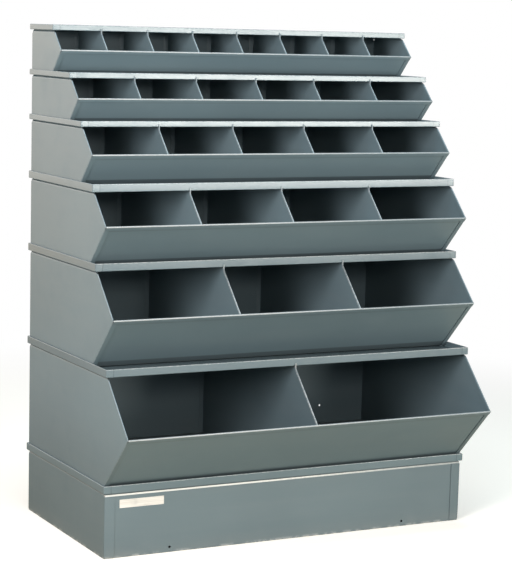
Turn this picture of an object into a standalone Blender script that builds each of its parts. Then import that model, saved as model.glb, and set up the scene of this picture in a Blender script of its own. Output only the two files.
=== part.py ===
"""Bin shelving unit: six stacked sections of sloped steel bins on a plinth.

Every section is folded from sheet steel: two side panels, a back, a tray that is floor and
sloped front in one, upright dividers, and a flanged cover that carries the section above.
The origin is on the floor, under the middle of the unit. The bins face -Y.
Inside the script a place is given as u, the distance forward from the unit's back plane,
and z, the height above the cover that the section stands on.
"""

import math
from collections import namedtuple

import bmesh
import bpy
from mathutils import Matrix, Vector

INCH = 0.0254

# Driving sizes of the unit, in metres. The depth of a section is that of its floor.
Section = namedtuple("Section", "name height depth lip bins cover_drop")
SHALLOW_DROP = 0.0127
DEEP_DROP = 0.0173
WIDTH = 36 * INCH
SECTIONS = (
    Section("tier1", 4.0625 * INCH, 5.375 * INCH, 1.8125 * INCH, 8, SHALLOW_DROP),
    Section("tier2", 4.0625 * INCH, 9.5 * INCH, 1.8125 * INCH, 6, SHALLOW_DROP),
    Section("tier3", 5.1875 * INCH, 12.25 * INCH, 2.375 * INCH, 5, SHALLOW_DROP),
    Section("tier4", 6.6875 * INCH, 14.625 * INCH, 3.25 * INCH, 4, DEEP_DROP),
    Section("tier5", 8.6875 * INCH, 15.5 * INCH, 4.25 * INCH, 3, DEEP_DROP),
    Section("tier6", 10.125 * INCH, 18.375 * INCH, 4.875 * INCH, 2, DEEP_DROP),
)
BASE_HEIGHT = 6.4375 * INCH
BASE_DEPTH = 18.5 * INCH

# Sheet metal: wall, clearance between pieces, and the outer radius of a bend
SHEET = 0.0012
GAP = 0.0003
BEND_RADIUS = 0.0014
BEND_STEPS = 2

# Flanges, hems and the notches that let two folds pass each other
FLANGE = 0.012
FRONT_FLANGE = 0.011
HEM_THICKNESS = 0.003
HEM_DEPTH = 0.008
CORNER_NOTCH = 0.0036
SLOPE_NOTCH = 0.0012
SLOT_WIDTH = 0.001
SLOT_DEPTH = 0.0022
NOSE_EAR = 0.0035

# Rims step inward below each cover, and the cover's returned edge closes on them
COVER_OVERHANG = 0.0042
RIM_STEP = 0.0035
RIM_STEP_RISE = 0.0038
CORNER_TAB = 0.017
CORNER_SEAM = 0.0004

# Rolled lip along the top of each sloped front
LIP_HEM = 0.010
LIP_PROUD = 0.0015
LIP_ROLL_RADIUS = 0.0008

# Hook on a divider, in front of the cover's edge
HOOK_DEPTH = 0.002
HOOK_RISE = 0.0055

# Plinth
FOOT_FLANGE = 0.025
FRONT_WRAP = 0.024
ANCHOR_HOLE_RADIUS = 0.003
ANCHOR_HOLE_SPREAD = 0.300
ANCHOR_HOLE_HEIGHT = 0.012

# Holes in the back of the deepest section
BACK_HOLE_RADIUS = 0.0025
BACK_HOLE_SPREAD = 0.331
BACK_HOLE_HEIGHT = 0.0367

# Row of bolt holes through each section's floor and the cover under it
BOLT_HOLE_RADIUS = 0.0035
BOLT_ROW_DEPTH = 0.070
BOLT_SPREADS = (0.030, 0.417)
HOLE_SIDES = 12

PAINT_COLOUR = (0.160, 0.196, 0.208, 1.0)

# Places that follow from the sizes above
WALL = SHEET + GAP
HALF_INSIDE = WIDTH / 2 - WALL
HALF_RIM = WIDTH / 2 - RIM_STEP
RIM_CLEAR = RIM_STEP + WALL
COVER_RETURN = COVER_OVERHANG + RIM_STEP - GAP
FLOOR_UNDERSIDE = GAP + WALL
FLOOR_TOP = FLOOR_UNDERSIDE + SHEET
SLOPE = Vector((1, 1)).normalized()
OUTWARD = Vector((1, -1)).normalized()


def front_reach(section):
    """How far forward of the back plane the rolled lip comes."""
    rolled_corner = (LIP_PROUD - SHEET + GAP) * SLOPE.x + SHEET * math.sqrt(2)
    rounded_off = (LIP_ROLL_RADIUS + SHEET) * (math.sqrt(2) - 1)
    return section.depth + section.lip + rolled_corner - rounded_off


BACK_Y = (max(front_reach(section) for section in SECTIONS) - COVER_OVERHANG) / 2


def cover_underside(height):
    """Top of the rims that a cover rests on."""
    return height - WALL


def step_top(height, drop):
    return height - drop - GAP


def step_bottom(height, drop):
    return step_top(height, drop) - RIM_STEP_RISE


def brow(section):
    """Where the upper slope meets the lower edge of the cover, as u."""
    return section.depth + 2 * section.lip - (section.height - section.cover_drop)


def clear_collection(name):
    collection = bpy.data.collections.get(name) or bpy.data.collections.new(name)
    if name not in bpy.context.scene.collection.children:
        bpy.context.scene.collection.children.link(collection)
    return collection


for old in list(bpy.data.objects):
    bpy.data.objects.remove(old, do_unlink=True)
PARTS = clear_collection("bin_shelving_unit")
CUTTERS = clear_collection("cutters")


def material(name, colour, roughness, metallic):
    finish = bpy.data.materials.new(name)
    finish.use_nodes = True
    shader = finish.node_tree.nodes["Principled BSDF"]
    shader.inputs["Base Color"].default_value = colour
    shader.inputs["Roughness"].default_value = roughness
    shader.inputs["Metallic"].default_value = metallic
    return finish


def empty(name, z):
    """The frame of one section: on the back plane, at the height that it stands on."""
    frame = bpy.data.objects.new(name, None)
    frame.location = (0, BACK_Y, z)
    PARTS.objects.link(frame)
    return frame


def add_sheet(name, mesh, frame, x=0.0):
    """A painted sheet: its wall goes behind the face that was drawn."""
    part = bpy.data.objects.new(name, mesh)
    part.parent = frame
    part.location.x = x
    PARTS.objects.link(part)
    if not mesh.materials:
        mesh.materials.append(material(name, PAINT_COLOUR, 0.38, 0.0))
    wall = part.modifiers.new("wall", "SOLIDIFY")
    wall.thickness = SHEET
    wall.offset = -1
    wall.use_even_offset = True
    return part


def cut(part, cutter):
    modifier = part.modifiers.new(cutter.name, "BOOLEAN")
    modifier.operation = "DIFFERENCE"
    modifier.solver = "EXACT"
    modifier.object = cutter


# Outlines of flat blanks, as points in the plane, anticlockwise


def corner_notch(before, corner, after, size):
    """Cuts a corner back square to both its edges, so that both can be folded."""
    along = (corner - before).normalized()
    onward = (after - corner).normalized()
    inward = Vector((-along.y, along.x))
    half_angle = along.angle(-onward) / 2
    first = corner - along * size
    return [first, first + inward * size * math.tan(half_angle), corner + onward * size]


def ear_slot(corner, other_end, ear, inward):
    """Slot beside a fold that stops short of a corner, from the corner onward."""
    along = (other_end - corner).normalized()
    tip = corner + along * ear
    root = tip + along * SLOT_WIDTH
    depth = inward * SLOT_DEPTH
    return [tip, tip + depth, root + depth, root]


class Sheet:
    """A sheet in the making: a flat blank whose edges are folded one after another.

    The blank is given as groups of points, one for each corner. Edge i runs from the end of
    group i to the start of the next.
    """

    def __init__(self, groups, place, turned=False):
        self.bm = bmesh.new()
        self.groups = [[self.bm.verts.new(place(point)) for point in group] for group in groups]
        ring = [vertex for group in self.groups for vertex in group]
        if turned:
            ring.reverse()
        self.bm.faces.new(ring)

    def edge(self, i):
        following = self.groups[(i + 1) % len(self.groups)]
        return [self.groups[i][-1], following[0]]

    def fold(self, chain, *runs):
        """Draws a chain of edge points out into a flange; one run for all, or one for each."""
        edges = [self.bm.edges.get(pair) for pair in zip(chain, chain[1:])]
        made = bmesh.ops.extrude_edge_only(self.bm, edges=edges)["geom"]
        fresh = {item for item in made if isinstance(item, bmesh.types.BMVert)}
        ends = []
        for vertex in chain:
            others = [edge.other_vert(vertex) for edge in vertex.link_edges]
            ends.append(next(other for other in others if other in fresh))
        for i, end in enumerate(ends):
            end.co += runs[i] if len(runs) > 1 else runs[0]
        return ends

    def mesh(self, name, radius=BEND_RADIUS):
        """Rounds every bend and hands over the mesh."""
        bends = [edge for edge in self.bm.edges
                 if len(edge.link_faces) == 2 and edge.calc_face_angle() > math.radians(10)]
        bmesh.ops.bevel(self.bm, geom=bends, offset=radius, offset_type="OFFSET",
                        segments=BEND_STEPS, profile=0.5, affect="EDGES")
        mesh = bpy.data.meshes.new(name)
        self.bm.to_mesh(mesh)
        self.bm.free()
        mesh.shade_smooth()
        mesh.set_sharp_from_angle(angle=math.radians(35))
        return mesh


# Side panels: a pointed outline, flanged inward at the rear, bottom and lower slope, hemmed
# along the upper slope, and stepped in at the top to pass inside the cover


def side_panel(section, hand):
    """hand is -1 for the left panel and 1 for the right one; x = 0 is its outer face."""
    inward = -hand
    base = GAP
    top = step_bottom(section.height, section.cover_drop)
    rise = step_top(section.height, section.cover_drop) - top
    rear_bottom = Vector((0, base))
    front_bottom = Vector((section.depth + base, base))
    nose = Vector((section.depth + section.lip, section.lip))
    front_top = Vector((section.depth + 2 * section.lip - top, top))
    rear_top = Vector((0, top))
    lower_slot = ear_slot(nose, front_bottom, NOSE_EAR, -OUTWARD)
    upper_slot = ear_slot(nose, front_top, NOSE_EAR, -SLOPE)
    groups = [
        corner_notch(rear_top, rear_bottom, front_bottom, CORNER_NOTCH),
        corner_notch(rear_bottom, front_bottom, nose, SLOPE_NOTCH),
        lower_slot[::-1] + [nose] + upper_slot,
        corner_notch(nose, front_top, rear_top, SLOPE_NOTCH),
        corner_notch(front_top, rear_top, rear_bottom, CORNER_NOTCH),
    ]
    sheet = Sheet(groups, lambda p: Vector((0, -p.x, p.y)), turned=hand > 0)
    sheet.fold(sheet.edge(0), Vector((inward * FLANGE, 0, 0)))
    sheet.fold(sheet.edge(1), Vector((inward * FRONT_FLANGE, 0, 0)))
    hem = sheet.fold(sheet.edge(2), Vector((inward * HEM_THICKNESS, 0, 0)))
    sheet.fold(hem, Vector((0, SLOPE.x, -SLOPE.y)) * HEM_DEPTH)
    front, rear = sheet.edge(3)
    front_run = -front.co.y - (brow(section) - RIM_STEP - GAP)
    rear_run = RIM_CLEAR + GAP + rear.co.y
    rim = sheet.fold([front, rear], Vector((inward * RIM_STEP, front_run, rise)),
                     Vector((inward * RIM_STEP, -rear_run, rise)))
    rim_height = cover_underside(section.height) - (top + rise)
    sheet.fold(rim, Vector((0, 0, rim_height)))
    sheet.fold(sheet.edge(4), Vector((inward * FLANGE, 0, 0)))
    return sheet.mesh(section.name + "_side")


# Upright wall between two side panels: the back of a section, or a plinth's back or front


def cross_wall(name, u, facing, base, height, drop, foot):
    """facing is 1 towards the rear and -1 towards the front; foot is its bottom flange."""
    top = step_bottom(height, drop)
    rise = step_top(height, drop) - top
    left_bottom = Vector((-HALF_INSIDE, base))
    right_bottom = Vector((HALF_INSIDE, base))
    right_top = Vector((HALF_INSIDE, top))
    left_top = Vector((-HALF_INSIDE, top))
    ear = HALF_INSIDE + foot + GAP - WIDTH / 2
    up = Vector((0, 1))
    groups = [
        [left_bottom] + ear_slot(left_bottom, right_bottom, ear, up),
        ear_slot(right_bottom, left_bottom, ear, up)[::-1] + [right_bottom],
        [right_top],
        [left_top],
    ]
    sheet = Sheet(groups, lambda p: Vector((p.x, -u, p.y)), turned=facing > 0)
    sheet.fold(sheet.edge(0), Vector((0, -facing * foot, 0)))
    narrow = HALF_INSIDE - HALF_RIM
    back_step = -facing * (RIM_STEP - WALL)
    rim = sheet.fold(sheet.edge(2), Vector((-narrow, back_step, rise)),
                     Vector((narrow, back_step, rise)))
    sheet.fold(rim, Vector((0, 0, cover_underside(height) - (top + rise))))
    return sheet.mesh(name)


# Tray: the floor and the sloped front in one sheet, with its lip rolled outward and down
# over the side panels' front flanges


def tray(section):
    lip_end = section.lip / SLOPE.y + LIP_PROUD - SHEET
    foot = Vector((section.depth, 0))
    crease = Vector((section.depth + FLOOR_UNDERSIDE - WALL / SLOPE.x, FLOOR_UNDERSIDE))
    profile = [
        Vector((WALL + WALL, FLOOR_UNDERSIDE)),
        crease,
        foot + SLOPE * lip_end - OUTWARD * WALL,
        foot + SLOPE * lip_end + OUTWARD * GAP,
        foot + SLOPE * (lip_end - LIP_HEM) + OUTWARD * GAP,
    ]
    bm = bmesh.new()
    points = [bm.verts.new((-HALF_INSIDE, -p.x, p.y)) for p in profile]
    edges = [bm.edges.new(pair) for pair in zip(points, points[1:])]
    made = bmesh.ops.extrude_edge_only(bm, edges=edges)["geom"]
    far_side = [item for item in made if isinstance(item, bmesh.types.BMVert)]
    bmesh.ops.translate(bm, verts=far_side, vec=(2 * HALF_INSIDE, 0, 0))
    bm.normal_update()
    floor = min(bm.faces, key=lambda face: face.calc_center_median().z)
    if floor.normal.z > 0:
        bmesh.ops.reverse_faces(bm, faces=bm.faces[:])
    floor_bend = []
    lip_bends = []
    for edge in bm.edges:
        if len(edge.link_faces) == 2:
            at_floor = edge.verts[0].co.z < FLOOR_TOP
            (floor_bend if at_floor else lip_bends).append(edge)
    for bends, radius in ((floor_bend, BEND_RADIUS), (lip_bends, LIP_ROLL_RADIUS)):
        bmesh.ops.bevel(bm, geom=bends, offset=radius, offset_type="OFFSET",
                        segments=BEND_STEPS, profile=0.5, affect="EDGES")
    mesh = bpy.data.meshes.new(section.name + "_tray")
    bm.to_mesh(mesh)
    bm.free()
    mesh.shade_smooth()
    mesh.set_sharp_from_angle(angle=math.radians(35))
    return mesh


# Divider: an upright plate with flanges on the back and the floor, a hemmed front edge, and
# a hook that holds the cover's front edge


def divider(section):
    base = FLOOR_TOP + GAP
    rear = WALL + WALL
    edge_bottom = section.height - section.cover_drop
    shoulder = step_bottom(section.height, section.cover_drop) - BEND_RADIUS
    top = cover_underside(section.height)
    inset = WALL + WALL
    cover_front = brow(section) + COVER_OVERHANG
    hook_back = cover_front + GAP
    hook_front = hook_back + HOOK_DEPTH
    nose = Vector((section.depth + section.lip, section.lip)) - OUTWARD * inset
    slope_line = nose.x + nose.y
    rear_bottom = Vector((rear, base))
    front_bottom = Vector((section.depth + base - inset / SLOPE.x, base))
    hook_foot = Vector((hook_front, slope_line - hook_front))
    groups = [
        corner_notch(Vector((rear, shoulder)), rear_bottom, front_bottom, CORNER_NOTCH),
        [front_bottom],
        [nose],
        [hook_foot],
        [Vector((hook_front, edge_bottom + HOOK_RISE))],
        [
            Vector((hook_back, edge_bottom + HOOK_RISE)),
            Vector((hook_back, edge_bottom - GAP)),
            Vector((brow(section) - RIM_STEP, edge_bottom - GAP)),
            Vector((brow(section) - RIM_STEP, top)),
            Vector((RIM_CLEAR, top)),
            Vector((RIM_CLEAR, shoulder)),
            Vector((rear, shoulder)),
        ],
    ]
    sheet = Sheet(groups, lambda p: Vector((SHEET / 2, -p.x, p.y)), turned=True)
    flange = Vector((-FLANGE, 0, 0))
    sheet.fold(sheet.edge(0), flange)
    sheet.fold(sheet.edge(5), flange)
    hem_chain = [sheet.groups[2][0], sheet.groups[3][0], sheet.groups[4][0]]
    hem = sheet.fold(hem_chain, Vector((-HEM_THICKNESS, 0, 0)))
    sheet.fold(hem[:2], Vector((0, SLOPE.x, -SLOPE.y)) * HEM_DEPTH)
    return sheet.mesh(section.name + "_divider")


# Cover: a flat plate with an edge folded down all round and returned inward. The sides and
# the back are one band that wraps round the front corners as two short tabs


def cover(name, front, drop):
    """front is the u of its front face; z = 0 is its top."""
    half = WIDTH / 2 + COVER_OVERHANG
    seam = half - CORNER_TAB - CORNER_SEAM
    tab = half - CORNER_TAB
    front_y = -front
    notch_y = front_y + SLOT_DEPTH
    groups = [
        [Vector((-half, front_y))],
        [Vector((-tab, front_y)), Vector((-tab, notch_y)),
         Vector((-seam, notch_y)), Vector((-seam, front_y))],
        [Vector((seam, front_y)), Vector((seam, notch_y)),
         Vector((tab, notch_y)), Vector((tab, front_y))],
        [Vector((half, front_y))],
        [Vector((half, COVER_OVERHANG))],
        [Vector((-half, COVER_OVERHANG))],
    ]
    sheet = Sheet(groups, lambda p: Vector((p.x, p.y, 0)))
    down = Vector((0, 0, -drop))
    edge = sheet.fold(sheet.edge(1), down)
    sheet.fold(edge, Vector((0, COVER_RETURN, 0)))
    corners = [sheet.groups[i][0] for i in (3, 4, 5, 0)]
    band = [sheet.groups[2][-1], *corners, sheet.groups[1][0]]
    edge = sheet.fold(band, down)
    sheet.fold(
        edge,
        Vector((0, COVER_RETURN, 0)),
        Vector((-COVER_RETURN, COVER_RETURN, 0)),
        Vector((-COVER_RETURN, -COVER_RETURN, 0)),
        Vector((COVER_RETURN, -COVER_RETURN, 0)),
        Vector((COVER_RETURN, COVER_RETURN, 0)),
        Vector((0, COVER_RETURN, 0)),
    )
    return sheet.mesh(name)


# Plinth side: flanged in at the floor and the rear, and wrapped round onto the front


def base_side(hand):
    inward = -hand
    top = step_bottom(BASE_HEIGHT, DEEP_DROP)
    rise = step_top(BASE_HEIGHT, DEEP_DROP) - top
    corners = [Vector((0, 0)), Vector((BASE_DEPTH, 0)), Vector((BASE_DEPTH, top)), Vector((0, top))]
    groups = [corner_notch(corners[i - 1], corners[i], corners[(i + 1) % 4], CORNER_NOTCH)
              for i in range(4)]
    sheet = Sheet(groups, lambda p: Vector((0, -p.x, p.y)), turned=hand > 0)
    sheet.fold(sheet.edge(0), Vector((inward * FOOT_FLANGE, 0, 0)))
    sheet.fold(sheet.edge(1), Vector((inward * FRONT_WRAP, 0, 0)))
    draw_in = RIM_CLEAR + GAP - CORNER_NOTCH
    rim = sheet.fold(sheet.edge(2), Vector((inward * RIM_STEP, draw_in, rise)),
                     Vector((inward * RIM_STEP, -draw_in, rise)))
    sheet.fold(rim, Vector((0, 0, cover_underside(BASE_HEIGHT) - (top + rise))))
    sheet.fold(sheet.edge(3), Vector((inward * FLANGE, 0, 0)))
    return sheet.mesh("base_side")


def hole_cutter(name, places, radius, turn):
    """Bars for one set of holes, far longer than the sheets that they pass through."""
    bm = bmesh.new()
    for x, u, z in places:
        middle = Matrix.Translation((x, BACK_Y - u, z)) @ turn
        bmesh.ops.create_cone(bm, cap_ends=True, segments=HOLE_SIDES, radius1=radius,
                              radius2=radius, depth=12 * SHEET, matrix=middle)
    mesh = bpy.data.meshes.new(name)
    bm.to_mesh(mesh)
    bm.free()
    cutter = bpy.data.objects.new(name, mesh)
    cutter.hide_render = True
    cutter.display_type = "WIRE"
    CUTTERS.objects.link(cutter)
    return cutter


# Heights at which the sections stand, from the plinth up
floors = {}
level = BASE_HEIGHT
for section in reversed(SECTIONS):
    floors[section.name] = level
    level += section.height

deepest = SECTIONS[-1]
UPRIGHT = Matrix.Identity(4)
LEVEL = Matrix.Rotation(math.pi / 2, 4, "X")
bolt_holes = hole_cutter(
    "bolt_holes",
    [(side * spread, BOLT_ROW_DEPTH, floors[section.name] + FLOOR_UNDERSIDE / 2)
     for section in SECTIONS for spread in BOLT_SPREADS for side in (-1, 1)],
    BOLT_HOLE_RADIUS,
    UPRIGHT,
)
anchor_holes = hole_cutter(
    "anchor_holes",
    [(side * ANCHOR_HOLE_SPREAD, BASE_DEPTH - WALL, ANCHOR_HOLE_HEIGHT) for side in (-1, 1)],
    ANCHOR_HOLE_RADIUS,
    LEVEL,
)
back_holes = hole_cutter(
    "back_holes",
    [(side * BACK_HOLE_SPREAD, WALL, floors[deepest.name] + BACK_HOLE_HEIGHT)
     for side in (-1, 1)],
    BACK_HOLE_RADIUS,
    LEVEL,
)

# Plinth
base_frame = empty("base_frame", 0)
for side_name, hand in (("left", -1), ("right", 1)):
    add_sheet("base_" + side_name, base_side(hand), base_frame, hand * WIDTH / 2)
base_front = add_sheet(
    "base_front",
    cross_wall("base_front", BASE_DEPTH - WALL, -1, 0, BASE_HEIGHT, DEEP_DROP, FOOT_FLANGE),
    base_frame,
)
cut(base_front, anchor_holes)
base_back = cross_wall("base_back", WALL, 1, 0, BASE_HEIGHT, DEEP_DROP, FOOT_FLANGE)
add_sheet("base_back", base_back, base_frame)
cover_frame = empty("base_cover_frame", BASE_HEIGHT)
base_cover = cover("base_cover", BASE_DEPTH + COVER_OVERHANG, DEEP_DROP)
cut(add_sheet("base_cover", base_cover, cover_frame), bolt_holes)

# Sections, each with the cover that closes it
for section in SECTIONS:
    frame = empty(section.name + "_frame", floors[section.name])
    for side_name, hand in (("left", -1), ("right", 1)):
        side_name = section.name + "_" + side_name + "_side"
        add_sheet(side_name, side_panel(section, hand), frame, hand * WIDTH / 2)
    back_name = section.name + "_back"
    back_mesh = cross_wall(back_name, WALL, 1, GAP, section.height, section.cover_drop, FLANGE)
    back = add_sheet(back_name, back_mesh, frame)
    if section is deepest:
        cut(back, back_holes)
    cut(add_sheet(section.name + "_tray", tray(section), frame), bolt_holes)
    divider_mesh = divider(section)
    for i in range(1, section.bins):
        x = WIDTH * (i / section.bins - 0.5)
        add_sheet(section.name + "_divider_" + str(i), divider_mesh, frame, x)
    top_one = section is SECTIONS[0]
    cover_name = "top_cover" if top_one else section.name + "_cover"
    cover_mesh = cover(cover_name, brow(section) + COVER_OVERHANG, section.cover_drop)
    cover_frame = empty(cover_name + "_frame", floors[section.name] + section.height)
    closing = add_sheet(cover_name, cover_mesh, cover_frame)
    if not top_one:
        cut(closing, bolt_holes)
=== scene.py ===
"""Bin shelving unit, dressed: six stacked sections of painted steel bins on a plinth."""

import math
from collections import namedtuple

import bmesh
import bpy
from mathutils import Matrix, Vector


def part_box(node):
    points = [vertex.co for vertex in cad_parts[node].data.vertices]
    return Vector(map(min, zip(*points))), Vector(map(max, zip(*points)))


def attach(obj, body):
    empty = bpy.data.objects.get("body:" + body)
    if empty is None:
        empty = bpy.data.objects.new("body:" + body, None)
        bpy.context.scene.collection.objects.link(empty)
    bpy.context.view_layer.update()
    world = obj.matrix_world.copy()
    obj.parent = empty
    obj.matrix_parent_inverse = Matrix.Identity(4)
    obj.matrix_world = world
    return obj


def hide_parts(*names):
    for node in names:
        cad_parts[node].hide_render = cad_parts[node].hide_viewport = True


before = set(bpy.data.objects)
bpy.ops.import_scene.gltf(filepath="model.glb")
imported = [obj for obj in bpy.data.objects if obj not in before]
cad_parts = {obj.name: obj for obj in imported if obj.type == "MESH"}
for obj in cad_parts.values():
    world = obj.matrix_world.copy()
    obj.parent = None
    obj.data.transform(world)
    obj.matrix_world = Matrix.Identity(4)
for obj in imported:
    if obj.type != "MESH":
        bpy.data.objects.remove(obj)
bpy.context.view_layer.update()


# Plinth: four panels folded from 1.2 mm sheet steel, the two sides wrapped round onto the
# front and spot-welded there, then sprayed with the blue-grey enamel that every sheet has

INCH = 0.0254
BASE_DEPTH = 18.5 * INCH
BASE_HEIGHT = 6.4375 * INCH
DEEP_DROP = 0.0173
BACK_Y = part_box("base_left")[1][1]
BLUE_GREY = (0.140, 0.194, 0.214, 1)
DEEP_GREY = (0.126, 0.176, 0.196, 1)
# Primer shows in chips; it is also the colour of most painted highlights
PRIMER_AND_HIGHLIGHT = (0.46, 0.47, 0.46, 1)
DUST = (0.30, 0.30, 0.285, 1)
# Grime, and also the colour of painted shade
GRIME_AND_SHADE = (0.020, 0.022, 0.024, 1)
# Steel for the plinth's worn foot, and the colour of the painted highlight on its step
WORN_STEEL_AND_HIGHLIGHT = (0.70, 0.71, 0.68, 1)


class Channel:
    """A value on its way through a finish, so that shader maths reads as plain sums."""

    def __init__(self, finish, socket):
        self.finish = finish
        self.socket = socket

    def maths(self, operation, *terms):
        return self.finish.node("Math", {"operation": operation}, *terms)

    def __add__(self, other):
        return self.maths("ADD", self, other)

    def __sub__(self, other):
        return self.maths("SUBTRACT", self, other)

    def __rsub__(self, other):
        return self.maths("SUBTRACT", other, self)

    def __mul__(self, other):
        return self.maths("MULTIPLY", self, other)

    def __abs__(self):
        return self.maths("ABSOLUTE", self)

    __radd__ = __add__
    __rmul__ = __mul__

    def rise(self, low, high):
        """0 below low, 1 above high, smooth between; low above high turns it round."""
        settings = {"interpolation_type": "SMOOTHSTEP"}
        return self.finish.node("MapRange", settings, self, low, high, 0.0, 1.0)

    def ridge(self, middle, half_width):
        """1 at the middle, falling smoothly to 0 at half_width from it."""
        return abs(self - middle).rise(half_width, 0.0)


class Finish:
    """A paint or a metal, as one material whose pattern reads the piece's own place."""

    def __init__(self, name):
        self.material = bpy.data.materials.new(name)
        self.material.use_nodes = True
        self.tree = self.material.node_tree
        self.shader = self.tree.nodes["Principled BSDF"]
        self.place = self.node("TexCoord", output="Object")
        apart = self.node("SeparateXYZ", {}, self.place, output=None)
        self.x, self.y, self.z = (Channel(self, socket) for socket in apart.outputs)

    def node(self, kind, settings=None, *values, output=0, **named):
        """Adds a node: its settings first, then the values or links of its sockets."""
        node = self.tree.nodes.new("ShaderNode" + kind)
        for key, value in (settings or {}).items():
            setattr(node, key, value)
        inputs = [socket for socket in node.inputs if socket.enabled]
        for socket, value in zip(inputs, values):
            self.feed(socket, value)
        for key, value in named.items():
            self.feed(node.inputs[key.replace("_", " ")], value)
        return node if output is None else Channel(self, node.outputs[output])

    def feed(self, socket, value):
        if isinstance(value, Channel):
            self.tree.links.new(value.socket, socket)
        else:
            socket.default_value = value

    def noise(self, scale, detail=2.0, stretch=(1, 1, 1), shift=(0, 0, 0)):
        place = self.node("Mapping", {}, self.place, shift, (0, 0, 0), stretch)
        return self.node("TexNoise", {}, Vector=place, Scale=scale, Detail=detail)

    def mix(self, factor, first, second):
        settings = {"data_type": "RGBA", "clamp_factor": True}
        node = self.node("Mix", settings, factor, first, second, output=None)
        return Channel(self, next(out for out in node.outputs if out.enabled))

    def coat(self, colour, roughness, height, distance):
        """Sends the finish to the shader; height is in units of distance."""
        bump = self.node("Bump", {}, Distance=distance, Height=height, Strength=1.0)
        self.feed(self.shader.inputs["Base Color"], colour)
        self.feed(self.shader.inputs["Roughness"], roughness)
        self.feed(self.shader.inputs["Normal"], bump)
        return self.material


def enamel(name, worn=None, dusty=None, grime_and_shade=None, bare=PRIMER_AND_HIGHLIGHT, tone=1.0, seed=0.0,
           gloss=0.36, chips=0.65, ripple=0.6):
    """Enamel: orange peel, chips, dust, wear and painted highlights, grime and painted shade."""
    finish = Finish(name)
    shift = (seed, 2 * seed, 3 * seed)
    cloud = finish.noise(3.2, 3.0, shift=shift)
    grain = finish.noise(38.0, 3.0, stretch=(0.12, 0.12, 1.0), shift=shift)
    smudge = finish.noise(14.0, 4.0, shift=shift).rise(0.46, 0.74)
    peel = finish.noise(620.0, 1.0)
    speck = finish.noise(900.0, 2.0, shift=shift).rise(0.72, 0.80)
    # Lightness scales the paint; per section on covers, trays and dividers it is painted light
    deep, blue = ([value * tone for value in grey[:3]] + [1] for grey in (DEEP_GREY, BLUE_GREY))
    colour = finish.mix(cloud.rise(0.3, 0.7), deep, blue)
    colour = finish.mix(grain.rise(0.35, 0.75) * 0.04, colour, DUST)
    colour = finish.mix(speck * 0.12, colour, PRIMER_AND_HIGHLIGHT)
    if dusty:
        colour = finish.mix(dusty(finish) * (0.15 + smudge * 0.3), colour, DUST)
    roughness = gloss + smudge * 0.05 + cloud * 0.03
    # Pale bands: worn paint at the plinth's foot, and painted highlights on folds, lips and hems
    if worn:
        chipped = finish.noise(180.0, 4.0, shift=shift).rise(0.36, 0.62)
        pale_band = worn(finish) * (1 - chips + chipped * chips)
        colour = finish.mix(pale_band, colour, bare)
        roughness = roughness - pale_band * 0.08
    # Dark lines: grime in the cover seams, and painted shade under covers, at hems and feet
    if grime_and_shade:
        colour = finish.mix(grime_and_shade(finish), colour, GRIME_AND_SHADE)
    waves = finish.noise(7.0, 1.0, shift=shift)
    return finish.coat(colour, roughness, peel * 0.05 + waves * ripple + grain * 0.03, 0.0004)


def dress(node, material):
    """Gives a solid of the frame its finish."""
    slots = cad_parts[node].material_slots
    for slot in slots:
        slot.material = material


# Painted highlight, pale as bare steel, along the plinth front's step, from STEP_FOOT to
# STEP_TOP
SCUFF_HEIGHT = 0.008
STEP_TOP = BASE_HEIGHT - 0.0208
STEP_FOOT = BASE_HEIGHT - 0.0252
STEP_REACH = 0.0045


def scuffs_and_step_highlight(finish):
    """Scuffs along the foot; painted highlight on the front's step under the cover, brighter at
    left.
    """
    foot = finish.z.rise(SCUFF_HEIGHT, 0.0) * finish.noise(60.0, 3.0).rise(0.40, 0.65) * 0.4
    front = (finish.y - BACK_Y + BASE_DEPTH).rise(STEP_REACH, STEP_REACH - 0.001)
    right = finish.x.rise(-0.5, 0.6)
    # Painted highlight: a band along the step, fading towards the right
    step = finish.z.rise(STEP_TOP, STEP_TOP - 0.0005)
    step = step * finish.z.rise(STEP_FOOT, STEP_FOOT + 0.0012)
    return foot + step * front * (1.5 - right * 1.15)


SHADE_LINE_DROP = 0.0030
SHADE_LINE_HALF_WIDTH = 0.0012


def shade_under_cover(finish, top, drop):
    """Painted shade: a dark line just under a cover's returned edge."""
    return finish.z.ridge(top - drop - SHADE_LINE_DROP, SHADE_LINE_HALF_WIDTH)


# Painted shade runs round the plinth just under the base cover's edge
plinth_enamel = enamel("plinth_enamel", worn=scuffs_and_step_highlight,
                       dusty=lambda finish: finish.z.rise(0.04, 0.0) * 0.5,
                       grime_and_shade=lambda finish: shade_under_cover(finish, BASE_HEIGHT, DEEP_DROP) * 0.9,
                       bare=WORN_STEEL_AND_HIGHLIGHT, tone=0.88, seed=0.7, chips=0.15)
for side in ("left", "right", "front", "back"):
    dress("base_" + side, plinth_enamel)


# Covers: sheets folded up, over and down all round, which leaves a seat for the section
# above. The side edges wrap round the front corners as short tabs. A painted highlight, pale
# like rubbed paint, runs along the front fold

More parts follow.
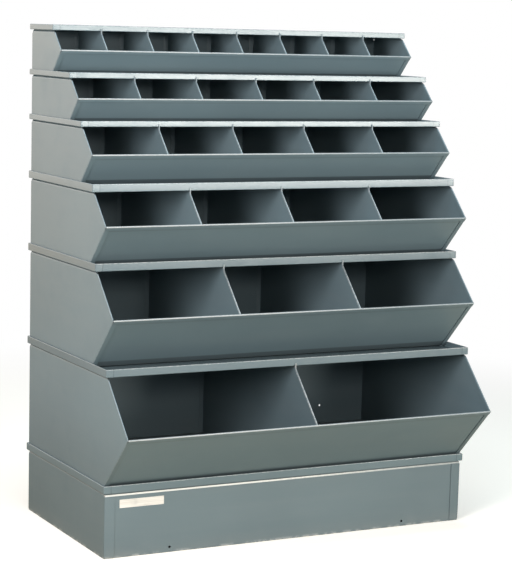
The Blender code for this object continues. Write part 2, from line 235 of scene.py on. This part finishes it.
SHALLOW_DROP = 0.0127
SHALLOW_SEAT = 0.0069
DEEP_SEAT = 0.0115
FLAT = 0.0
Section = namedtuple("Section", "name height depth lip bins drop seat")
SECTIONS = (
    Section("tier1", 4.0625 * INCH, 5.375 * INCH, 1.8125 * INCH, 8, SHALLOW_DROP, FLAT),
    Section("tier2", 4.0625 * INCH, 9.5 * INCH, 1.8125 * INCH, 6, SHALLOW_DROP, SHALLOW_SEAT),
    Section("tier3", 5.1875 * INCH, 12.25 * INCH, 2.375 * INCH, 5, SHALLOW_DROP, SHALLOW_SEAT),
    Section("tier4", 6.6875 * INCH, 14.625 * INCH, 3.25 * INCH, 4, DEEP_DROP, DEEP_SEAT),
    Section("tier5", 8.6875 * INCH, 15.5 * INCH, 4.25 * INCH, 3, DEEP_DROP, DEEP_SEAT),
    Section("tier6", 10.125 * INCH, 18.375 * INCH, 4.875 * INCH, 2, DEEP_DROP, DEEP_SEAT),
)
CORNER_TAB = 0.017
SEAM_HALF_WIDTH = 0.0009


def cover_enamel(node, seed):
    """A painted highlight along the front fold, with grime in the two corner seams."""
    low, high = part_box(node)

    def front_fold_highlight(finish):
        # Painted highlight along the top of the front fold
        near = abs(finish.y - low[1]).rise(0.0030, 0.0004)
        return near * finish.z.rise(high[2] - 0.0022, high[2] - 0.0006) * 0.6

    def corner_seams(finish):
        seam = abs(finish.x).ridge(high[0] - CORNER_TAB - 0.0002, SEAM_HALF_WIDTH)
        return seam * (finish.y - low[1]).rise(0.004, 0.001) * 0.5

    # The two lowest covers are painted darker than the others: painted shade
    tone = 0.84 if node in ("tier6_cover", "tier5_cover") else 0.95
    return enamel(node + "_enamel", worn=front_fold_highlight, grime_and_shade=corner_seams, tone=tone, seed=seed,
                  gloss=0.20, ripple=0.2)


for i, node in enumerate(["base_cover", "tier6_cover", "tier5_cover", "tier4_cover",
                          "tier3_cover", "tier2_cover", "top_cover"]):
    dress(node, cover_enamel(node, 1.3 * i))


# Casings: the two side panels and the back of each section, folded from the same sheet. The
# sides' slanted edges are hemmed or flanged, and a pale painted highlight runs along them

HALF_WIDTH = 18 * INCH
DIAGONAL = math.sqrt(0.5)
FLOOR_RISE = 0.0018


def rim_level(section):
    """Height of the rim of the cover that the section stands in."""
    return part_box(section.name + "_tray")[0][2] - FLOOR_RISE


def slope_places(section, finish):
    """How far forward and up a point lies, and how far along the section's front slope."""
    forward = BACK_Y - finish.y
    up = finish.z - rim_level(section)
    along = (forward + up - section.depth) * DIAGONAL
    return forward, up, along


def casing_enamel(section, seed):
    """Painted highlights on the slants' outer corner; painted shade under the cover, and low on
    tier6.
    """

    def slant_highlights(finish):
        forward, up = slope_places(section, finish)[:2]
        # Painted highlight along the upper and lower slanted edges
        upper_edge = (section.depth + 2 * section.lip) * DIAGONAL
        upper = ((forward + up) * DIAGONAL).ridge(upper_edge, 0.0016)
        lower = ((forward - up) * DIAGONAL).ridge(section.depth * DIAGONAL, 0.0014)
        outer_corner = abs(finish.x).rise(HALF_WIDTH - 0.0017, HALF_WIDTH - 0.0003)
        return (upper + lower) * outer_corner * 0.45

    def top_and_low_shade(finish):
        top = rim_level(section) + section.height
        # Painted shade: a dark line under the cover
        painted_shade = shade_under_cover(finish, top, section.drop) * 0.6
        if section.name == "tier6":
            # Painted shade: tier6's casing darker towards the bottom
            low_shade = finish.z.rise(0.36, 0.18) * 0.13
            painted_shade = painted_shade + low_shade
        return painted_shade

    return enamel(section.name + "_casing_enamel", worn=slant_highlights, grime_and_shade=top_and_low_shade,
                  seed=seed)


for i, section in enumerate(SECTIONS):
    finish = casing_enamel(section, 0.9 + 1.7 * i)
    for side in ("_left_side", "_right_side", "_back"):
        dress(section.name + side, finish)


# Trays: floor and sloped front in one sheet, with the lip rolled out and down over the
# front. A pale painted highlight runs along that roll, brighter towards the left

# How much lighter or darker each tray is painted, painted light that follows how each front is
# lit, and how far the painted shade along the foot of its front reaches up
TRAY_PAINTED_LIGHT = {"tier1": 1.12, "tier2": 1.10, "tier3": 1.05, "tier4": 1.0, "tier5": 0.96,
              "tier6": 1.03}
FOOT_SHADE = {"tier1": 0.0012, "tier2": 0.0025, "tier3": 0.0030, "tier4": 0.0012,
              "tier5": 0.0040, "tier6": 0.0120}
LIP_PROUD = 0.0015
NARROW_HEM = 0.011
WIDE_HEM = 0.0165


def lip_tip(section):
    """How far up the slope the rolled lip ends."""
    return section.lip * math.sqrt(2) + LIP_PROUD


def sunk_depth(section):
    """How deep a section stands in the cover below it."""
    below = SECTIONS.index(section) + 1
    return SECTIONS[below].seat if below < len(SECTIONS) else DEEP_SEAT


def tray_enamel(section, seed):
    """A painted highlight along the rolled lip, dusty on the floor, painted shade at hem and
    foot.
    """

    def lip_highlight(finish):
        # Painted highlight along the rolled lip, brighter towards the left
        along = slope_places(section, finish)[2]
        tip = lip_tip(section)
        right = finish.x.rise(-0.2, 0.45)
        return along.rise(tip - 0.0018, tip - 0.0008) * (0.8 - right * 0.4)

    def floor_dust(finish):
        up = slope_places(section, finish)[1]
        sunk = sunk_depth(section)
        return up.rise(0.005 - sunk, 0.002 - sunk)

    def hem_and_foot_shade(finish):
        along = slope_places(section, finish)[2]
        hem_depth = NARROW_HEM if section.name in ("tier1", "tier2") else WIDE_HEM
        hem_end = lip_tip(section) - hem_depth
        # Painted shade: a line at the hem's end, a band over the hem, and the front's foot
        painted_shade = along.ridge(hem_end, 0.0028) * 0.22
        hem = along.rise(hem_end, hem_end + 0.002) * 0.07
        foot = along.rise(FOOT_SHADE[section.name], 0.001) * along.rise(-0.020, -0.012)
        return painted_shade + hem + foot * 0.55

    return enamel(section.name + "_tray_enamel", worn=lip_highlight, dusty=floor_dust,
                  grime_and_shade=hem_and_foot_shade, tone=TRAY_PAINTED_LIGHT[section.name], seed=seed, chips=0.2)


for i, section in enumerate(SECTIONS):
    dress(section.name + "_tray", tray_enamel(section, 0.4 + 2.1 * i))


# Dividers: upright plates flanged at the back and the floor. The front edge is hemmed, so it
# is safe to reach past, and its top end is a hook that holds the front edge of the cover

# How much lighter or darker each section's dividers are painted: painted light and shade
DIVIDER_PAINTED_LIGHT = {"tier1": 1.1, "tier2": 1.1, "tier3": 1.1, "tier4": 1.15, "tier5": 1.03,
                 "tier6": 0.84}
HEM_INSET = 0.0030


def divider_enamel(section, seed):
    """A painted highlight along the hemmed front edge."""

    def hem_highlight(finish):
        forward, up = slope_places(section, finish)[:2]
        # Painted highlight along the hemmed front edge
        reach = (forward + up) * DIAGONAL
        edge = (section.depth + 2 * section.lip) * DIAGONAL - HEM_INSET
        return reach.rise(edge - 0.0012, edge - 0.0002) * (section.lip * 5)

    return enamel(section.name + "_divider_enamel", worn=hem_highlight,
                  tone=DIVIDER_PAINTED_LIGHT[section.name], seed=seed)


for i, section in enumerate(SECTIONS):
    finish = divider_enamel(section, 0.2 + 1.1 * i)
    for k in range(1, section.bins):
        dress(f"{section.name}_divider_{k}", finish)


# Seats: a cover that carries a section is a shallow pan, in which that section stands. The
# solids have flat covers, so here every such cover is folded anew, and each panel is let
# down into its seat and ends lower under its own cover

SHEET = 0.0012
COVER_OVERHANG = 0.0042
RIM_STEP = 0.0035
GAP = 0.0003
CORNER_SEAM = 0.0004
BEND_RADIUS = 0.0014
WELD = 0.000002

# Points this near to a panel's top edge or foot belong to it
TOP_REACH = 0.002
FOOT_REACH = 0.009
FLOOR_FRONT = 0.020


def stand_in(piece, node):
    """Rounds the shading over the folds, and lets the piece stand for its solid."""
    piece.data.shade_smooth()
    piece.data.set_sharp_from_angle(angle=math.radians(50))
    even = piece.modifiers.new("even", "WEIGHTED_NORMAL")
    even.keep_sharp = True
    bpy.context.scene.collection.objects.link(piece)
    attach(piece, "root")
    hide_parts(node)


def let_down(node, slot, level, sunk, front, top, seat):
    """A copy of a solid with its foot sunk, along the slant in front, and its top edge lower."""
    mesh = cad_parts[node].data.copy()
    mesh.name = node + "_seated"
    bm = bmesh.new()
    bm.from_mesh(mesh)
    bmesh.ops.remove_doubles(bm, verts=bm.verts, dist=WELD)
    for vertex in bm.verts:
        if vertex.co.z > top - TOP_REACH:
            vertex.co.z -= seat
        elif vertex.co.z < level + FOOT_REACH:
            vertex.co.z -= sunk
            if BACK_Y - vertex.co.y > front:
                vertex.co.y += sunk
    bm.to_mesh(mesh)
    bm.free()
    stand_in(bpy.data.objects.new(mesh.name, mesh), node)


def seat_cover(node, seat):
    """A cover folded up, over, down and inward, with its two corner seams."""
    low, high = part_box(node)
    half, drop = high[0], high[2] - low[2]
    tab = half - CORNER_TAB
    seam = tab - CORNER_SEAM
    rim = COVER_OVERHANG - GAP
    bm = bmesh.new()
    rings = []
    for inset, z in ((rim, -seat), (rim, 0), (0, 0), (0, -drop),
                     (COVER_OVERHANG + RIM_STEP - GAP, -drop)):
        front, rear, side = low[1] + inset, high[1] - inset, half - inset
        outline = [(-side, front), (-tab, front), (-seam, front), (seam, front), (tab, front),
                   (side, front), (side, rear), (-side, rear)]
        rings.append([bm.verts.new((x, y, high[2] + z)) for x, y in outline])
    bm.faces.new(rings[0])
    for k, (inner, outer) in enumerate(zip(rings, rings[1:])):
        for i in range(8):
            j = (i + 1) % 8
            if k == 0 or i not in (1, 3):
                bm.faces.new((inner[j], inner[i], outer[i], outer[j]))
    bm.normal_update()
    bends = [edge for edge in bm.edges
             if len(edge.link_faces) == 2 and edge.calc_face_angle() > 0.2]
    bmesh.ops.bevel(bm, geom=bends, offset=BEND_RADIUS, offset_type="OFFSET", segments=3,
                    profile=0.5, affect="EDGES")
    mesh = bpy.data.meshes.new(node + "_seat")
    bm.to_mesh(mesh)
    bm.free()
    mesh.materials.append(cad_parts[node].material_slots[0].material)
    cover = bpy.data.objects.new(mesh.name, mesh)
    wall = cover.modifiers.new("wall", "SOLIDIFY")
    wall.thickness = SHEET
    wall.offset = -1
    wall.use_even_offset = True
    stand_in(cover, node)


for side in ("left", "right", "front", "back"):
    let_down("base_" + side, "plinth_paint", 0.0, FLAT, BASE_DEPTH, BASE_HEIGHT, DEEP_SEAT)
seat_cover("base_cover", DEEP_SEAT)
for section in SECTIONS:
    level = rim_level(section)
    front = section.depth - FLOOR_FRONT
    sizes = (level, sunk_depth(section), front, level + section.height, section.seat)
    for kind in ("_left_side", "_right_side", "_back"):
        let_down(section.name + kind, "casing_paint", *sizes)
    let_down(section.name + "_tray", "bin_paint", *sizes)
    for k in range(1, section.bins):
        let_down(f"{section.name}_divider_{k}", "bin_paint", *sizes)
    if section.seat:
        seat_cover(section.name + "_cover", section.seat)


# Section bolts: zinc-plated hexagon bolts with washers, four to a section. Each goes down
# through the section's floor and the cover under it, to a nut inside the section below

BOLT_ROW_DEPTH = 0.070
BOLT_SPREADS = (0.030, 0.417)
BOLT_SIZES = {"Head radius": 0.0064, "Head height": 0.0040, "Washer radius": 0.0080,
              "Washer height": 0.0010, "Shank radius": 0.0030, "Grip": 0.0043,
              "Nut height": 0.0050, "Tail": 0.0025}
CROWN_HEIGHT = 0.0007
CROWN_TOP = 0.80
CROWN_FOOT = 0.92
HEXAGON = 6
WASHER_SIDES = 24
SHANK_SIDES = 16
ZINC_DARK = (0.52, 0.52, 0.50, 1)
ZINC_LIGHT = (0.68, 0.68, 0.66, 1)


def zinc(name):
    """Plated zinc: a faint spangle, brushed along the bolt."""
    finish = Finish(name)
    spangle = finish.noise(240.0, 2.0)
    brushed = finish.noise(900.0, 2.0, stretch=(1, 1, 0.1))
    colour = finish.mix(spangle.rise(0.3, 0.7), ZINC_DARK, ZINC_LIGHT)
    finish.shader.inputs["Metallic"].default_value = 1.0
    return finish.coat(colour, 0.28 + spangle * 0.14, brushed * 0.05 + spangle * 0.2, 0.0002)


class Pattern:
    """A Geometry Nodes tree in the making, with named inputs for its sizes."""

    def __init__(self, name, sizes):
        self.tree = bpy.data.node_groups.new(name, "GeometryNodeTree")
        face = self.tree.interface
        face.new_socket("Geometry", in_out="OUTPUT", socket_type="NodeSocketGeometry")
        face.new_socket("Points", in_out="INPUT", socket_type="NodeSocketGeometry")
        self.names = {}
        for key in sizes:
            item = face.new_socket(key, in_out="INPUT", socket_type="NodeSocketFloat")
            self.names[key] = item.identifier
        item = face.new_socket("Finish", in_out="INPUT", socket_type="NodeSocketMaterial")
        self.names["Finish"] = item.identifier
        self.given = self.tree.nodes.new("NodeGroupInput").outputs

    def node(self, kind, settings=None, output=0, **sockets):
        """Adds a node: its settings first, then the values or links of its named sockets."""
        node = self.tree.nodes.new(kind)
        for key, value in (settings or {}).items():
            setattr(node, key, value)
        for key, value in sockets.items():
            targets = [s for s in node.inputs if s.name == key.replace("_", " ") and s.enabled]
            for source in value if isinstance(value, list) else [value]:
                if isinstance(source, bpy.types.NodeSocket):
                    self.tree.links.new(source, targets[0])
                else:
                    targets[0].default_value = source
        return node.outputs[output]

    def at(self, geometry, z):
        """Lifts or lowers a part of the pattern to the height z."""
        drop = self.node("ShaderNodeCombineXYZ", Z=z)
        return self.node("GeometryNodeTransform", Geometry=geometry, Translation=drop)

    def maths(self, operation, first, second):
        node = self.tree.nodes.new("ShaderNodeMath")
        node.operation = operation
        for socket, value in zip(node.inputs, (first, second)):
            if isinstance(value, bpy.types.NodeSocket):
                self.tree.links.new(value, socket)
            else:
                socket.default_value = value
        return node.outputs[0]

    def finish(self, geometry):
        """Copies the geometry to every point, each copy turned a little differently."""
        turn = self.node("FunctionNodeRandomValue", {"data_type": "FLOAT"}, output=1,
                         Min=0.0, Max=math.pi, Seed=7)
        rotation = self.node("ShaderNodeCombineXYZ", Z=turn)
        copies = self.node("GeometryNodeInstanceOnPoints", Points=self.given["Points"],
                           Instance=geometry, Rotation=rotation)
        real = self.node("GeometryNodeRealizeInstances", Geometry=copies)
        painted = self.node("GeometryNodeSetMaterial", Geometry=real,
                            Material=self.given["Finish"])
        out = self.tree.nodes.new("NodeGroupOutput")
        self.tree.links.new(painted, out.inputs[0])


def pattern_piece(name, pattern, points, sizes, material):
    """Runs a pattern over its points and keeps the result as one plain mesh."""
    mesh = bpy.data.meshes.new(name + "_points")
    mesh.from_pydata(points, [], [])
    maker = bpy.data.objects.new(name + "_maker", mesh)
    bpy.context.scene.collection.objects.link(maker)
    modifier = maker.modifiers.new("pattern", "NODES")
    modifier.node_group = pattern.tree
    for key, value in sizes.items():
        modifier[pattern.names[key]] = value
    modifier[pattern.names["Finish"]] = material
    graph = bpy.context.evaluated_depsgraph_get()
    result = bpy.data.meshes.new_from_object(maker.evaluated_get(graph))
    bpy.data.objects.remove(maker)
    piece = bpy.data.objects.new(name, result)
    bpy.context.scene.collection.objects.link(piece)
    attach(piece, "root")


bolt = Pattern("hexagon_bolt", BOLT_SIZES)
given = bolt.given
washer = bolt.node("GeometryNodeMeshCylinder", {"fill_type": "NGON"}, Vertices=WASHER_SIDES,
                   Radius=given["Washer radius"], Depth=given["Washer height"])
head = bolt.node("GeometryNodeMeshCylinder", {"fill_type": "NGON"}, Vertices=HEXAGON,
                 Radius=given["Head radius"], Depth=given["Head height"])
crown_radius = bolt.maths("MULTIPLY", given["Head radius"], CROWN_TOP)
flat_radius = bolt.maths("MULTIPLY", given["Head radius"], CROWN_FOOT)
crown = bolt.node("GeometryNodeMeshCone", {"fill_type": "NGON"}, Vertices=HEXAGON,
                  Depth=CROWN_HEIGHT, Radius_Top=crown_radius, Radius_Bottom=flat_radius)
grip_and_nut = bolt.maths("ADD", given["Grip"], given["Nut height"])
shank_length = bolt.maths("ADD", grip_and_nut, given["Tail"])
shank = bolt.node("GeometryNodeMeshCylinder", {"fill_type": "NGON"}, Vertices=SHANK_SIDES,
                  Radius=given["Shank radius"], Depth=shank_length)
nut = bolt.node("GeometryNodeMeshCylinder", {"fill_type": "NGON"}, Vertices=HEXAGON,
                Radius=given["Head radius"], Depth=given["Nut height"])
half_washer = bolt.maths("MULTIPLY", given["Washer height"], 0.5)
half_head = bolt.maths("MULTIPLY", given["Head height"], 0.5)
half_nut = bolt.maths("MULTIPLY", given["Nut height"], 0.5)
nut_drop = bolt.maths("ADD", half_nut, given["Grip"])
bolt.finish(bolt.node("GeometryNodeJoinGeometry", Geometry=[
    bolt.at(washer, half_washer),
    bolt.at(head, bolt.maths("ADD", half_head, given["Washer height"])),
    bolt.at(crown, bolt.maths("ADD", given["Head height"], given["Washer height"])),
    bolt.at(shank, bolt.maths("MULTIPLY", shank_length, -0.5)),
    bolt.at(nut, bolt.maths("MULTIPLY", nut_drop, -1.0)),
]))
bolt_places = []
for section in SECTIONS:
    tray_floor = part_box(section.name + "_tray")[0][2] + SHEET - sunk_depth(section)
    for spread in BOLT_SPREADS:
        for side in (-1, 1):
            bolt_places.append((side * spread, BACK_Y - BOLT_ROW_DEPTH, tray_floor))
pattern_piece("section_bolts", bolt, bolt_places, BOLT_SIZES, zinc("zinc_plate"))


# Bare plate: a thin pressed-aluminium plate stuck to the plinth's front at the left. It
# carries nothing: a plain pale face inside a narrow raised border

PLATE_LOW = (-0.4215, 0.1115)
PLATE_HIGH = (-0.3156, 0.1300)
PLATE_THICKNESS = 0.00025
BORDER_WIDTH = 0.0014
BORDER_SLOPE = 0.0005
BORDER_RISE = 0.00015
DULL_ALUMINIUM = (0.62, 0.60, 0.56, 1)
PALE_ALUMINIUM = (0.74, 0.72, 0.68, 1)


def plate_finish():
    """Aluminium brushed along its length, with a little dust."""
    finish = Finish("plate_finish")
    brushed = finish.noise(500.0, 3.0, stretch=(0.03, 1, 1))
    cloud = finish.noise(40.0, 2.0)
    colour = finish.mix(brushed.rise(0.3, 0.7), DULL_ALUMINIUM, PALE_ALUMINIUM)
    colour = finish.mix(cloud.rise(0.5, 0.8) * 0.3, colour, DUST)
    finish.shader.inputs["Metallic"].default_value = 0.25
    return finish.coat(colour, 0.36 + brushed * 0.10, brushed * 0.3, 0.0001)


def bare_plate():
    left, bottom = PLATE_LOW
    right, top = PLATE_HIGH
    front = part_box("base_front")[0][1]
    bm = bmesh.new()
    corners = [(left, bottom), (right, bottom), (right, top), (left, top)]
    points = [bm.verts.new((x, front - PLATE_THICKNESS, z)) for x, z in corners]
    face = bm.faces.new(points)
    bmesh.ops.inset_individual(bm, faces=[face], thickness=BORDER_WIDTH, depth=0.0)
    bmesh.ops.inset_individual(bm, faces=[face], thickness=BORDER_SLOPE, depth=-BORDER_RISE)
    mesh = bpy.data.meshes.new("bare_plate")
    bm.to_mesh(mesh)
    bm.free()
    plate = bpy.data.objects.new("bare_plate", mesh)
    bpy.context.scene.collection.objects.link(plate)
    body = plate.modifiers.new("body", "SOLIDIFY")
    body.thickness = PLATE_THICKNESS
    body.offset = -1
    mesh.materials.append(plate_finish())
    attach(plate, "root")


bare_plate()


# Studio: a pale floor, a white surround, and soft boxes. Two light the front, one hangs above,
# one stands on the left, and the left side panels mirror the two behind on the left. Through the
# plinth's holes the camera sees the floor under it, in real shadow and in the painted-shadow
# colour

FLOOR_REACH = 9.0
PLINTH_INSIDE = (0.452, 0.229)
PLINTH_MIDDLE = 0.058
PALE_FLOOR = (0.90, 0.86, 0.78, 1)
NEAR_SHADOWED_BOUNCE = (0.46, 0.40, 0.29, 1)
FAR_BOUNCE = (0.50, 0.49, 0.46, 1)
BLACK = (0, 0, 0, 1)
WHITE = (1, 1, 1, 1)


def studio_floor():
    """Pale to the eye and white far off; near the unit its bounce and reflections have painted
    shadow.
    """
    bm = bmesh.new()
    bmesh.ops.create_grid(bm, x_segments=1, y_segments=1, size=FLOOR_REACH)
    mesh = bpy.data.meshes.new("studio_floor")
    bm.to_mesh(mesh)
    bm.free()
    floor = bpy.data.objects.new("studio_floor", mesh)
    bpy.context.scene.collection.objects.link(floor)
    finish = Finish("floor_paper")
    path = finish.node("LightPath", output=None)
    seen, mirrored = (Channel(finish, path.outputs["Is " + ray + " Ray"])
                      for ray in ("Camera", "Glossy"))
    reach = finish.x * finish.x + finish.y * finish.y
    away = reach.rise(0.8, 6.8)
    half_wide, half_deep = PLINTH_INSIDE
    inside = abs(finish.x).rise(half_wide, half_wide - 0.002)
    inside = inside * abs(finish.y - PLINTH_MIDDLE).rise(half_deep, half_deep - 0.002)
    seen = seen * (1 - inside)
    # Reflections see the pale floor only away from the unit; near it they see the painted shadow
    pale = seen.maths("MAXIMUM", seen, mirrored * reach.rise(0.9, 2.8))
    # Painted shadow: the floor's colour is darker near the unit
    bounce = finish.mix(reach.rise(0.4, 3.0), NEAR_SHADOWED_BOUNCE, FAR_BOUNCE)
    colour = finish.mix(pale, bounce, PALE_FLOOR)
    finish.feed(finish.shader.inputs["Base Color"], colour)
    finish.feed(finish.shader.inputs["Roughness"], 0.9)
    finish.feed(finish.shader.inputs["Specular IOR Level"], 0.1)
    finish.feed(finish.shader.inputs["Emission Color"], finish.mix(seen * 0.36, BLACK, WHITE))
    finish.feed(finish.shader.inputs["Emission Strength"], 1.0)
    white = finish.node("Emission", {}, WHITE, 1.0)
    body = Channel(finish, finish.shader.outputs[0])
    both = finish.node("MixShader", {}, away * seen, body, white)
    finish.feed(finish.tree.nodes["Material Output"].inputs["Surface"], both)
    mesh.materials.append(finish.material)


SURROUND_LIGHT = 0.25
SURROUND_TINT = (0.97, 0.985, 1.0, 1)


def surround():
    """White to the eye and in gloss, and a weak even light on everything."""
    world = bpy.data.worlds.new("white_surround")
    world.use_nodes = True
    bpy.context.scene.world = world
    nodes, links = world.node_tree.nodes, world.node_tree.links
    lit = nodes["Background"]
    lit.inputs["Color"].default_value = SURROUND_TINT
    lit.inputs["Strength"].default_value = SURROUND_LIGHT
    white = nodes.new("ShaderNodeBackground")
    white.inputs["Color"].default_value = WHITE
    path = nodes.new("ShaderNodeLightPath")
    diffuse = nodes.new("ShaderNodeMixShader")
    links.new(path.outputs["Is Diffuse Ray"], diffuse.inputs[0])
    links.new(white.outputs[0], diffuse.inputs[1])
    links.new(lit.outputs[0], diffuse.inputs[2])
    links.new(diffuse.outputs[0], nodes["World Output"].inputs["Surface"])


def soft_box(name, middle, aim, size, radiance, colour):
    """An area lamp that the camera doesn't see; radiance is the brightness of its face."""
    lamp = bpy.data.lights.new(name, "AREA")
    lamp.shape = "RECTANGLE"
    lamp.size, lamp.size_y = size
    lamp.energy = radiance * math.pi * size[0] * size[1]
    lamp.color = colour
    box = bpy.data.objects.new(name, lamp)
    box.location = middle
    box.rotation_euler = (Vector(aim) - Vector(middle)).to_track_quat("-Z", "Y").to_euler()
    box.visible_camera = False
    bpy.context.scene.collection.objects.link(box)


FRONT_AIM = (0, -0.2, 0.90)
REAR_AIM = (-0.45, 0, 0.95)
studio_floor()
surround()
soft_box("front_box", (2.0, -3.9, 0.90), FRONT_AIM, (2.1, 0.80), 20.5, (1.0, 0.98, 0.92))
soft_box("fill_box", (-0.3, -4.4, 1.62), FRONT_AIM, (1.0, 0.5), 21.0, (1.0, 0.94, 0.90))
soft_box("top_box", (0, -0.4, 3.4), (0, -0.1, 0.5), (1.6, 1.2), 9.0, (0.66, 0.88, 1.0))
soft_box("left_box", (-2.05, -1.58, 1.62), (0, -0.15, 0.8), (0.8, 1.7), 17.2, (1.0, 0.96, 0.96))
soft_box("rear_low_box", (-2.2, 3.3, 0.65), REAR_AIM, (2.6, 1.2), 1.1, (1.0, 0.82, 0.60))
soft_box("rear_high_box", (-2.2, 3.3, 1.60), REAR_AIM, (2.6, 0.7), 3.0, (1.0, 0.85, 0.68))

# Camera: it stands where the photograph was taken from
CAMERA_PLACE = (-2.02333, -3.90309, 1.15483)
CAMERA_TURN = (81.6281, -1.4914, -27.3087)
LENS = 118.252
LENS_SHIFT = (-0.0135, 0.03057)
lens = bpy.data.cameras.new("photo_camera")
lens.sensor_width = 36.0
lens.lens = LENS
lens.shift_x, lens.shift_y = LENS_SHIFT
lens.clip_end = 60.0
camera = bpy.data.objects.new("photo_camera", lens)
camera.location = CAMERA_PLACE
camera.rotation_euler = [math.radians(angle) for angle in CAMERA_TURN]
bpy.context.scene.collection.objects.link(camera)
bpy.context.scene.camera = camera
bpy.context.scene.view_settings.view_transform = "Standard"
